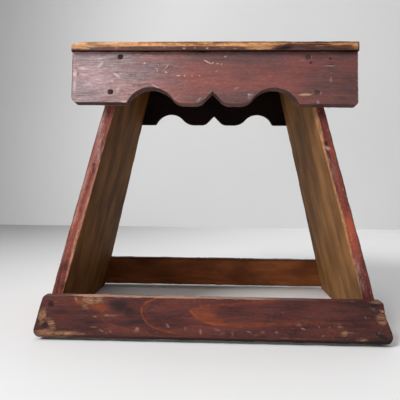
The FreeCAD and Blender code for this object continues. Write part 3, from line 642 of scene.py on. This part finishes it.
# Marks on the front rail's face, as in spots, and its flame-shaped grain, as in strokes.
rail_marks = {
    "bare": [
        (-203, 28, 6, 11, 0, 0.85), (-199, 8, 14, 6, 0, 1.0), (-180, 8, 22, 4.5, 4, 0.9),
        (-192, 20, 5, 9, 30, 0.85), (-155, 8, 12, 2.4, 0, 0.7), (-143, 49, 17, 6, 0, 0.8),
        (-151, 42, 7, 7, 0, 0.62), (-138.9, 29.7, 3.0, 1.2, 0, 0.85), (-154.6, 27.6, 1.5, 1.2, 0, 0.7),
        (-125.6, 31.7, 3, 1.1, 0, 0.8), (-140.9, 17.3, 6, 0.9, 0, 0.8), (-130, 13, 5, 1.0, -25, 0.8),
        (-120.2, 12.7, 2.2, 2.0, 0, 0.75), (-87.8, 16, 3, 2.2, 20, 0.8), (203, 42, 6, 2.2, -15, 0.85),
        (201, 33, 7, 8, 60, 0.85), (190, 45, 5, 1.8, -20, 0.7), (195.9, 52.5, 9, 1.8, 0, 0.9),
        (157.3, 15.5, 5.5, 3.6, 10, 0.85), (178, 9, 9, 3.0, 0, 0.8), (127.7, 22.9, 1.5, 1.1, 0, 0.8),
        (139.9, 23.1, 2.2, 1.6, 0, 0.75), (109, 20.2, 5, 1.2, -15, 0.8), (132.3, 12.6, 2.6, 1.0, 10, 0.85),
        (103.1, 9.1, 1.5, 1.0, 0, 0.75), (146, 24, 3, 1.4, 0, 0.6), (195.5, 13.4, 2, 1.0, 0, 0.8),
        (186, 34, 2, 1.6, 0, 0.6),
    ],
    "film": [
        (-162.6, 50, 0.8, 3.5, 25, 0.8), (-188, 46, 3.5, 1.2, 30, 0.4), (-199, 39, 4, 1.0, 30, 0.35),
        (-120, 31.5, 9, 1.0, 0, 0.5), (-88, 15, 3.2, 2.4, 30, 0.55), (-51, 20.5, 2.2, 1.1, -45, 0.75),
        (-12, 15, 1.0, 3.4, 0, 0.6), (-30, 17, 1.0, 2.4, 0, 0.5), (8, 17, 4, 0.8, -10, 0.7),
        (14, 13, 3, 0.8, 15, 0.6), (26, 13, 1.2, 3.0, 0, 0.6), (46, 15, 3, 0.8, -20, 0.6),
        (54, 12, 3, 0.8, 20, 0.6), (62, 15, 2, 1.2, 0, 0.6), (78, 16, 1.4, 1.8, 0, 0.6),
        (70, 7, 5, 0.8, 0, 0.5), (88, 9, 5, 0.8, 0, 0.5), (182, 35, 1.2, 1.2, 0, 0.7),
        (-2, 46, 2.2, 0.9, 30, 0.4), (104, 25, 3, 1.0, 0, 0.5), (152, 24, 3, 1.6, 0, 0.55),
        (165, 17, 4, 1, 0, 0.5),
    ],
    "grime": [
        (-110, 43, 12, 8, -8, 0.85), (-98, 37, 8, 6, 0, 0.75), (-126, 36, 4, 3, 0, 0.5),
        (-194, 42.6, 3.0, 2.0, 0, 0.7), (-200.3, 17.9, 4.2, 3.2, 0, 0.8), (-100, 20, 30, 5, 0, 0.3),
        (191.9, 48.4, 6, 2.4, -10, 0.8), (198.5, 16.3, 4.4, 3.0, 0, 1.0), (203, 12, 8, 4, -20, 0.75),
        (197, 7, 16, 2.4, -5, 0.6), (16, 36, 10, 9, 0, 0.35), (20, 14, 26, 4.5, 0, 0.5),
        (60, 13, 16, 3.4, 0, 0.35), (-60, 26, 20, 4, 0, 0.3), (-110, 9, 20, 2.5, 0, 0.35),
        (140, 9, 10, 2, 0, 0.3), (0, 51, 8, 1.4, 0, 0.4),
    ],
    "fire": [
        ([(-66, 52), (-77, 48), (-83, 41), (-83, 35), (-79, 27), (-74, 21.5), (-66, 17.5), (-54, 14.2),
          (-42, 12)], 1.1, 0.85),
        ([(-42, 12), (-24, 10), (0, 9)], 1.0, 0.5),
        ([(-76, 44), (-79, 37), (-75, 28), (-66, 21), (-52, 17), (-36, 15)], 3.4, 0.38),
        ([(-66, 50), (-50, 52)], 1.6, 0.4),
        ([(-24, 38.5), (-19, 33), (-12, 28.5), (-4, 25.5), (6, 23.5), (20, 23)], 1.7, 0.95),
        ([(-22, 40), (-14, 41.5), (-4, 42), (8, 41.5)], 1.8, 0.6),
        ([(-16, 37), (-6, 35), (4, 33)], 4.4, 0.72),
        ([(-8, 31), (2, 28.5), (12, 26.5)], 3.0, 0.72),
        ([(12, 23.5), (34, 23.8), (58.5, 25), (82, 25.2), (105.5, 25.9)], 2.4, 0.62),
        ([(34, 21), (60, 21.5)], 1.6, 0.4),
        ([(105.5, 25.9), (125, 26.8), (146.4, 26.7), (165, 28)], 1.3, 0.6),
        ([(-12, 45), (5, 45.5), (20, 47), (34.7, 48.2), (52, 50), (70, 51.3), (88, 52.6)], 1.8, 0.6),
        ([(16, 45), (34, 46)], 2.2, 0.5),
        ([(-160, 46), (-146, 44), (-134, 42), (-128, 38)], 5.5, 0.75),
        ([(-128, 48), (-134, 40), (-133, 32), (-127, 24), (-112, 18), (-90, 13), (-70, 10)], 1.2, 0.5),
        ([(-60, 8.5), (-20, 7.5), (40, 7.5), (100, 8.5), (150, 9)], 1.2, 0.5),
        ([(120, 14), (150, 20), (180, 22)], 1.6, 0.4),
        ([(-182, 12), (-165, 9), (-140, 8)], 2.0, 0.5),
    ],
}
# Pine under thin dark paint, rubbed by feet: to the eye a deep red brown, with orange grain glowing through
# it, tan bare patches, and dirt and painted shade along the floor.
both_rails = {
    "sway": 10, "ring": 3.6, "late": 0.6, "stain_share": 0.4,
    "rubbed": ("#c08a66", "#82553d"), "paint": ("#64352f", "#3c2123"), "streak": 0.52, "under": "#6b3023",
    "grin": 0.3, "fire": ("#944722", "#6a2e1a"), "film": "#b8958a", "grime": "#241c1c",
    "gloss": 0.4, "relief": 0.6, "specular": 0.22, "dirt": 0.95, "craze": 0.4,
}
rail_looks = {
    "front": {
        "pith": (0, 75, -38), "turn": (0, 0, math.radians(-3.7)),
        "natural": ("#7c4725", "#5a2f15"), "stain": "#371a0b",
    },
    "rear": {
        "pith": (0, 60, -22), "turn": (0, 0, math.radians(-0.6)),
        "natural": ("#a05c33", "#74401f"), "stain": "#4a2612",
    },
}
for side_name, side, cells in (("front", -1, (380, 5, 60)), ("rear", 1, (240, 5, 36))):
    low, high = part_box(f"{side_name}_floor_rail")
    width = (high.z - low.z) / MM
    board = sawn_board(cells, rail_place((low, high), side))
    wear_arrises(board, rounding=1.4 * MM, reach=5 * MM, depth=1.1 * MM, seed=7 + side)
    heads = nail_heads(f"{side_name}_rail_nails", Vector((0, side * math.cos(LEAN), math.sin(LEAN))))
    press_in(board, heads)
    for point in board.verts:
        point.co.y = min(max(point.co.y, low.y), high.y)
        if side < 0 and point.co.x > 0:
            up = (point.co.z - low.z) / MM
            inland = rail_half(up, width, high.x / MM) - point.co.x / MM
            lost = np.interp(up, *SPLINTER)
            point.co.x -= lost * max(0, 1 - inland / 8) * (0.8 + 0.4 * noise.noise(point.co * 260)) * MM
    material = aged_timber(f"worn_paint_{side_name}_rail", both_rails | rail_looks[side_name])
    rail = finished_piece(f"{side_name}_rail", board, material, "rail_wood", f"{side_name}_floor_rail")
    places, facing, away = points_of(rail)
    x, z = places[:, 0], places[:, 2]
    outer = side * facing[:, 1] > 0.5
    on_top = facing[:, 2] > 0.6
    coat = np.where(side * facing[:, 1] < -0.5, 0.0, 1.0)
    # The arrises are rubbed 3 mm wide, and the top is trodden bare toward the left.
    bare = 0.5 * np.clip(1 - away / 3.0, 0, 1) * (coat > 0.5)
    trodden = np.interp(x, (-195, -172, -160, -60, 60, 100), (0.3, 0.4, 0.7, 0.7, 0.6, 0.3))
    bare = np.maximum(bare, trodden * on_top)
    # Grime lies round the nails and along the ends. Along the floor and on the underside it is dirt and
    # painted shade.
    stains = [(head.x / MM, head.z / MM, 3.2, 3.2, 0, 0.9) for head in heads]
    ends = np.array([rail_half(up, width, high.x / MM) for up in z - low.z / MM]) - np.abs(x)
    grime = np.maximum(spots(x, z, stains) * outer, 0.85 * np.clip(1 - ends / 2.2, 0, 1))
    dirt_and_shade_along_floor = np.clip((8.5 - z) / 3, 0, 1) * outer * np.interp(x, (-170, -60), (0.2, 1))
    grime = np.maximum(grime, np.where(facing[:, 2] < -0.5, 1.0, dirt_and_shade_along_floor))
    # Shades: painted light and shade on the top, painted shade along the foot of the outer face and on the
    # underside, and the two ends darker.
    shade = np.where((z < 8) & outer, 0.6, 1.0)
    if side < 0:
        # Painted light and shade on the front rail's top: lighter in the middle, darker toward both ends.
        top_light_and_shade = np.interp(x, (-195, -170, -160, 80, 120), (0.6, 0.8, 1.35, 1.25, 0.9))
        shade = np.where(on_top, top_light_and_shade, shade)
        dustiness, chips = 1.0, (0.05 + 0.2 * np.clip((22 - z) / 10, 0, 1)) * outer
        bare = np.maximum(bare, 0.9 * spots(x, z, rail_marks["bare"]) * outer)
        grime = np.maximum(grime, spots(x, z, rail_marks["grime"]) * outer)
        grime = np.maximum(grime, 0.42 * np.clip((20 - z) / 10, 0, 1) * outer * (x > -150))
        film = 0.8 * spots(x, z, rail_marks["film"]) * outer
        fire = strokes(x, z, rail_marks["fire"]) * outer
    else:
        # Painted shade on the rear rail's top, and a painted shadow along the top 4 mm of its faces, with
        # painted light below it.
        shade = np.where(on_top, 0.75, shade)
        shade *= np.interp(high.z / MM - z, (1.5, 4.0), (0.5, 1.12))
        dustiness, chips, film, fire = 0.2, 0.0, 0.0, 0.0
    shade *= np.where(outer, np.interp(np.abs(x), (120, 190), (1.0, 0.8)), 1.0)
    # Painted shade on the underside and the lower arris.
    shade = np.where(facing[:, 2] < -0.3, 0.3, shade)
    dust = dustiness * np.interp(x, (-200, -160, 40, 90), (0.3, 0.5, 0.4, 0.1))
    film = np.maximum(film, dust * on_top)
    lay(rail, "finish", bare, grime, film, coat)
    lay(rail, "tone", fire, chips, shade, 0)

# ---------------------------------------------------------------- seat board
# One thin softwood board nailed down over legs and aprons. Its front edge is rubbed bare along the top, with
# old paint left along the bottom. The top keeps scraps of paint, and the left end is worn down.
SEAT_CORNER = 4.0
# The left end is worn down over a length, by so much at the very end.
WORN_LENGTH, WORN_DEPTH = 20.0, 3.4
# Where the old paint on the front edge ends upward: places along the seat, and heights.
PAINT_LINE = (
    (-176, -150, -90, 30, 60, 78, 90, 110, 150, 176),
    (355, 356.5, 357.3, 357, 355, 358.5, 360, 360, 359.3, 357.5),
)


def seat_place(box):
    """Where a share of the seat's length, depth and thickness lies: corners round, left end worn down."""
    low, high = box

    def place(u, v, w):
        x = low.x + u * (high.x - low.x)
        past = SEAT_CORNER * MM - min(x - low.x, high.x - x)
        inset = SEAT_CORNER * MM - math.sqrt((SEAT_CORNER * MM) ** 2 - past ** 2) if past > 0 else 0.0
        y = low.y + inset + v * (high.y - low.y - 2 * inset)
        worn = max(0.0, 1 - (x - low.x) / (WORN_LENGTH * MM)) ** 2.2 * WORN_DEPTH * MM
        z = low.z + w * (high.z - low.z - worn)
        return Vector((x, y, z))
    return place


# Marks on the front edge, as in spots.
seat_marks = {
    "bare": [
        (-165, 357, 12, 3, 0, 0.8), (57, 356.5, 18, 3.5, 0, 0.9), (171, 356, 4, 3, 0, 0.8),
        (150, 359, 10, 0.9, 3, 0.8), (128, 357.6, 8, 0.7, 0, 0.7), (-36, 354.6, 2.4, 0.9, 0, 0.8),
        (-22.8, 355.4, 1.6, 0.8, 0, 0.8), (-8, 354.8, 2.2, 0.9, 0, 0.8), (-60, 355.5, 1.4, 0.7, 0, 0.7),
        (-169, 354.6, 3, 1, 0, 0.7), (-155, 354.5, 6, 0.9, 0, 0.75), (-120, 355, 3, 0.8, 0, 0.7),
        (12, 355.2, 4, 0.8, 0, 0.8), (26, 354.6, 3, 0.8, 0, 0.8),
    ],
    "film": [
        (-165, 360.5, 8, 1.5, 0, 0.9), (-130, 361, 14, 1.4, 0, 0.8), (-150, 356.5, 6, 1.0, 0, 0.6),
    ],
    "grime": [
        (85, 355, 12, 3.0, 8, 0.9), (92, 359.5, 6, 1.2, 0, 0.7), (118, 354.5, 10, 1.2, 0, 0.6),
        (140, 356, 9, 1.2, 0, 0.6), (155, 353.8, 10, 1.0, 0, 0.6), (130, 360.6, 8, 0.8, 0, 0.6),
        (-40, 353.2, 60, 0.8, 0, 0.5), (175.5, 360, 2.0, 3, 0, 0.7), (10, 362.0, 90, 0.7, 0, 0.7),
        (-50, 362.0, 40, 0.5, 0, 0.7), (120, 362.0, 55, 0.9, 0, 0.9), (130, 358.8, 10, 0.8, 4, 0.7),
        (105, 357, 8, 0.9, -5, 0.6), (160, 358, 8, 0.7, 3, 0.6),
    ],
    "fire": [
        (20, 358, 60, 2.4, 0, 0.5), (60, 357, 30, 2, 0, 0.5), (150, 357.5, 30, 2.5, 0, 0.7),
        (168, 355.5, 8, 2.5, 0, 0.8), (110, 358, 20, 1.4, 0, 0.5),
    ],
}
low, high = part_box("seat_board")
board = sawn_board((270, 160, 10), seat_place((low, high)))
wear_arrises(board, rounding=1.5 * MM, reach=4 * MM, depth=0.55 * MM, seed=12)
heads = nail_heads("seat_nails", Vector((0, 0, 1)))
press_in(board, heads)
# Pine worn by long use: to the eye a warm orange tan with dark grain and scraps of dull brown paint. The
# underside is painted nearly black as shade.
seat_look = {
    "pith": (0, 10, -300), "turn": (0, math.radians(0.8), 0), "sway": 22, "ring": 5.0, "late": 0.6,
    "natural": ("#1f0f09", "#140805"), "stain": "#0d0504", "stain_share": 0.4,
    "rubbed": ("#efae78", "#84491f"), "paint": ("#6d4d49", "#45302d"), "streak": 0.4, "under": "#8a4f3c",
    "grin": 0.4, "fire": ("#a5683a", "#744223"), "film": "#f0cfae", "grime": "#2a1c19",
    "gloss": 0.45, "relief": 0.7, "specular": 0.15, "dirt": 0.6, "craze": 0.3,
}
seat = finished_piece("worn_seat", board, aged_timber("worn_pine_seat", seat_look), "seat_wood", "seat_board")
places, facing = points_of(seat)[:2]
x, y, z = places.T
front = facing[:, 1] < -0.4
on_top = facing[:, 2] > 0.6
coat = np.where(facing[:, 2] < -0.6, 0.0, 1.0)
# The front edge is bare above the paint line. On the top, scraps of paint keep to a band inside the edges.
bare = np.clip(0.5 + (z - np.interp(x, *PAINT_LINE)) / 2.4, 0, 1)
bare = np.maximum(bare, spots(x, z, seat_marks["bare"]) * front)
inland = np.minimum(np.minimum(x - low.x / MM, high.x / MM - x), np.minimum(y - low.y / MM, high.y / MM - y))
kept = np.interp(inland, (0, 4, 16, 45, 80), (0.0, 0.13, 0.16, 0.05, 0.0))
patchy = np.array([noise.fractal(point.co * 16, 1.0, 2.0, 4) for point in seat.data.vertices])
bare = np.where(on_top, 0.62 - kept - 0.34 * patchy, bare)
stains = [(head.x / MM, head.y / MM, 3.2, 3.2, 0, 0.9) for head in heads]
grime = np.where(on_top, spots(x, y, stains), spots(x, z, seat_marks["grime"]) * front)
film = spots(x, z, seat_marks["film"]) * front
# The front edge is darker toward its right end.
shade = np.where(front, np.interp(x, (-100, 60, 95, 160, 176), (1.0, 0.92, 0.62, 0.62, 0.8)), 1.0)
lay(seat, "finish", np.where(coat > 0.5, bare, 0), grime, film, coat)
lay(seat, "tone", spots(x, z, seat_marks["fire"]) * front, np.where(front, 0.12, 0.05), shade, 0)

# ---------------------------------------------------------------- nails
# Old cut nails of iron, their square heads driven just under the surface. They have rusted nearly black: to
# the eye small dark pits, with brown scale on the iron and scraps of paint on the heads to the right.
nail_iron = bpy.data.materials.new("rusted_cut_nail_iron")
nail_iron.use_nodes = True
tree = nail_iron.node_tree
shader = tree.nodes["Principled BSDF"]
place = add(tree, "TexCoord").outputs["Object"]
# Scale and pits lie about a millimetre apart.
scale = add(tree, "TexNoise", {"Vector": place, "Scale": 900.0, "Detail": 5.0, "Roughness": 0.65})
rust = add(tree, "MapRange", {0: scale.outputs[0], 1: 0.42, 2: 0.62}, interpolation_type="SMOOTHSTEP")
iron = add(tree, "Mix", {0: rust.outputs[0], 6: linear("#20120f"), 7: linear("#4f2d24")}, data_type="RGBA")
along = add(tree, "SeparateXYZ", {0: place}).outputs[0]
under_paint = add(tree, "MapRange", {0: along, 1: -0.02, 2: 0.08, 4: 1.0}).outputs[0]
scraps = add(tree, "Math", {0: under_paint, 1: rust.outputs[0]}, operation="MULTIPLY").outputs[0]
iron = add(tree, "Mix", {0: scraps, 6: iron.outputs[2], 7: linear("#6a4f4b")}, data_type="RGBA")
tree.links.new(iron.outputs[2], shader.inputs["Base Color"])
dull = add(tree, "MapRange", {0: rust.outputs[0], 3: 0.55, 4: 0.9})
tree.links.new(dull.outputs[0], shader.inputs["Roughness"])
pitted = add(tree, "Bump", {"Height": scale.outputs[0], "Strength": 0.6, "Distance": 0.3 * MM})
tree.links.new(pitted.outputs[0], shader.inputs["Normal"])
shader.inputs["Metallic"].default_value = 0.1
shader.inputs["Specular IOR Level"].default_value = 0.2
for node in ("front_apron_nails", "rear_apron_nails", "front_rail_nails", "rear_rail_nails", "seat_nails"):
    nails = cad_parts[node]
    nails.data.materials.clear()
    nails.data.materials.append(nail_iron)

# ---------------------------------------------------------------- floor, wall, light and camera
# A plain pale floor and a plain wall a good metre behind the stool, lit softly from the left. Both are matt
# plaster with painted shade, greyer toward their left ends, the floor also toward the back and the wall also
# toward the top, and faintly clouded, as a brushed coat is.
def plastered(name, dark, pale, low, high, roughness):
    """Pale plaster with painted shade, dark to pale mostly along X between two places, faintly clouded."""
    material = bpy.data.materials.new(name)
    material.use_nodes = True
    tree = material.node_tree
    shader = tree.nodes["Principled BSDF"]
    place = add(tree, "TexCoord").outputs["Object"]
    clouds = add(tree, "TexNoise", {"Vector": place, "Scale": 3.0, "Detail": 4.0})
    slant = add(tree, "VectorMath", {0: place, 1: (1, -0.45, -0.35)}, operation="DOT_PRODUCT")
    share = add(tree, "MapRange", {0: slant.outputs["Value"], 1: low, 2: high},
                interpolation_type="SMOOTHSTEP")
    colour = add(tree, "Mix", {0: share.outputs[0], 6: linear(dark), 7: linear(pale)}, data_type="RGBA")
    value = add(tree, "MapRange", {0: clouds.outputs[0], 1: 0.3, 2: 0.7, 3: 0.985, 4: 1.015})
    colour = add(tree, "HueSaturation", {"Color": colour.outputs[2], "Value": value.outputs[0]})
    tree.links.new(colour.outputs[0], shader.inputs["Base Color"])
    shader.inputs["Roughness"].default_value = roughness
    shader.inputs["Specular IOR Level"].default_value = 0.2
    return material


# The room, in metres: half its width and its height, and how far behind the stool the wall stands.
ROOM, WALL = 6, 1.1
floor_corners = (-ROOM, -ROOM, 0), (ROOM, -ROOM, 0), (ROOM, WALL, 0), (-ROOM, WALL, 0)
wall_corners = (-ROOM, WALL, 0), (ROOM, WALL, 0), (ROOM, WALL, ROOM), (-ROOM, WALL, ROOM)
for name, corners, dark, pale, low, high in (
    ("studio_floor", floor_corners, "#8e8e8e", "#efefef", -1.45, 0.1),
    ("studio_wall", wall_corners, "#8c8c8c", "#e0e0e0", -1.9, -0.85),
):
    sheet = bmesh.new()
    sheet.faces.new([sheet.verts.new(corner) for corner in corners])
    mesh = bpy.data.meshes.new(name)
    sheet.to_mesh(mesh)
    sheet.free()
    mesh.materials.append(plastered(f"{name}_plaster", dark, pale, low, high, 0.7))
    backdrop = bpy.data.objects.new(name, mesh)
    bpy.context.scene.collection.objects.link(backdrop)

scene = bpy.context.scene
scene.view_settings.view_transform = "Standard"
world = bpy.data.worlds.new("studio")
world.use_nodes = True
sky = world.node_tree.nodes["Background"]
sky.inputs["Color"].default_value = linear("#f4f4f4")
sky.inputs["Strength"].default_value = 0.30
scene.world = world
# A window at the left front and a weaker skylight: places and aims in metres, sides in metres, watts.
for name, spot, aim, size, power in (
    ("window_left", (-1.85, -1.85, 2.4), (0, 0, 0.15), 1.2, 96),
    ("sky_top", (-0.3, 0.2, 3.0), (0, 0, 0.1), 2.2, 22),
):
    light = bpy.data.lights.new(name, "AREA")
    light.shape = "SQUARE"
    light.size = size
    light.energy = power
    lamp = bpy.data.objects.new(name, light)
    toward = Vector(aim) - Vector(spot)
    lamp.matrix_world = Matrix.Translation(spot) @ toward.to_track_quat("-Z", "Y").to_matrix().to_4x4()
    scene.collection.objects.link(lamp)

# The camera stands in front at half the stool's height, looks slightly down and is turned a little left.
EYE = Vector((4.729, -656.069, 196.864)) * MM
YAW, PITCH, ROLL = math.radians(2.075), math.radians(2.861), math.radians(0.517)
ahead = Vector((-math.sin(YAW) * math.cos(PITCH), math.cos(YAW) * math.cos(PITCH), -math.sin(PITCH)))
level = Vector((math.cos(YAW), math.sin(YAW), 0))
above = level.cross(ahead)
right = level * math.cos(ROLL) + above * math.sin(ROLL)
upward = above * math.cos(ROLL) - level * math.sin(ROLL)
turn = Matrix((right, upward, -ahead)).transposed().to_4x4()
lens = bpy.data.cameras.new("camera")
lens.sensor_width = 36
lens.lens = 39.6
camera = bpy.data.objects.new("camera", lens)
camera.matrix_world = Matrix.Translation(EYE) @ turn
scene.collection.objects.link(camera)
scene.camera = camera
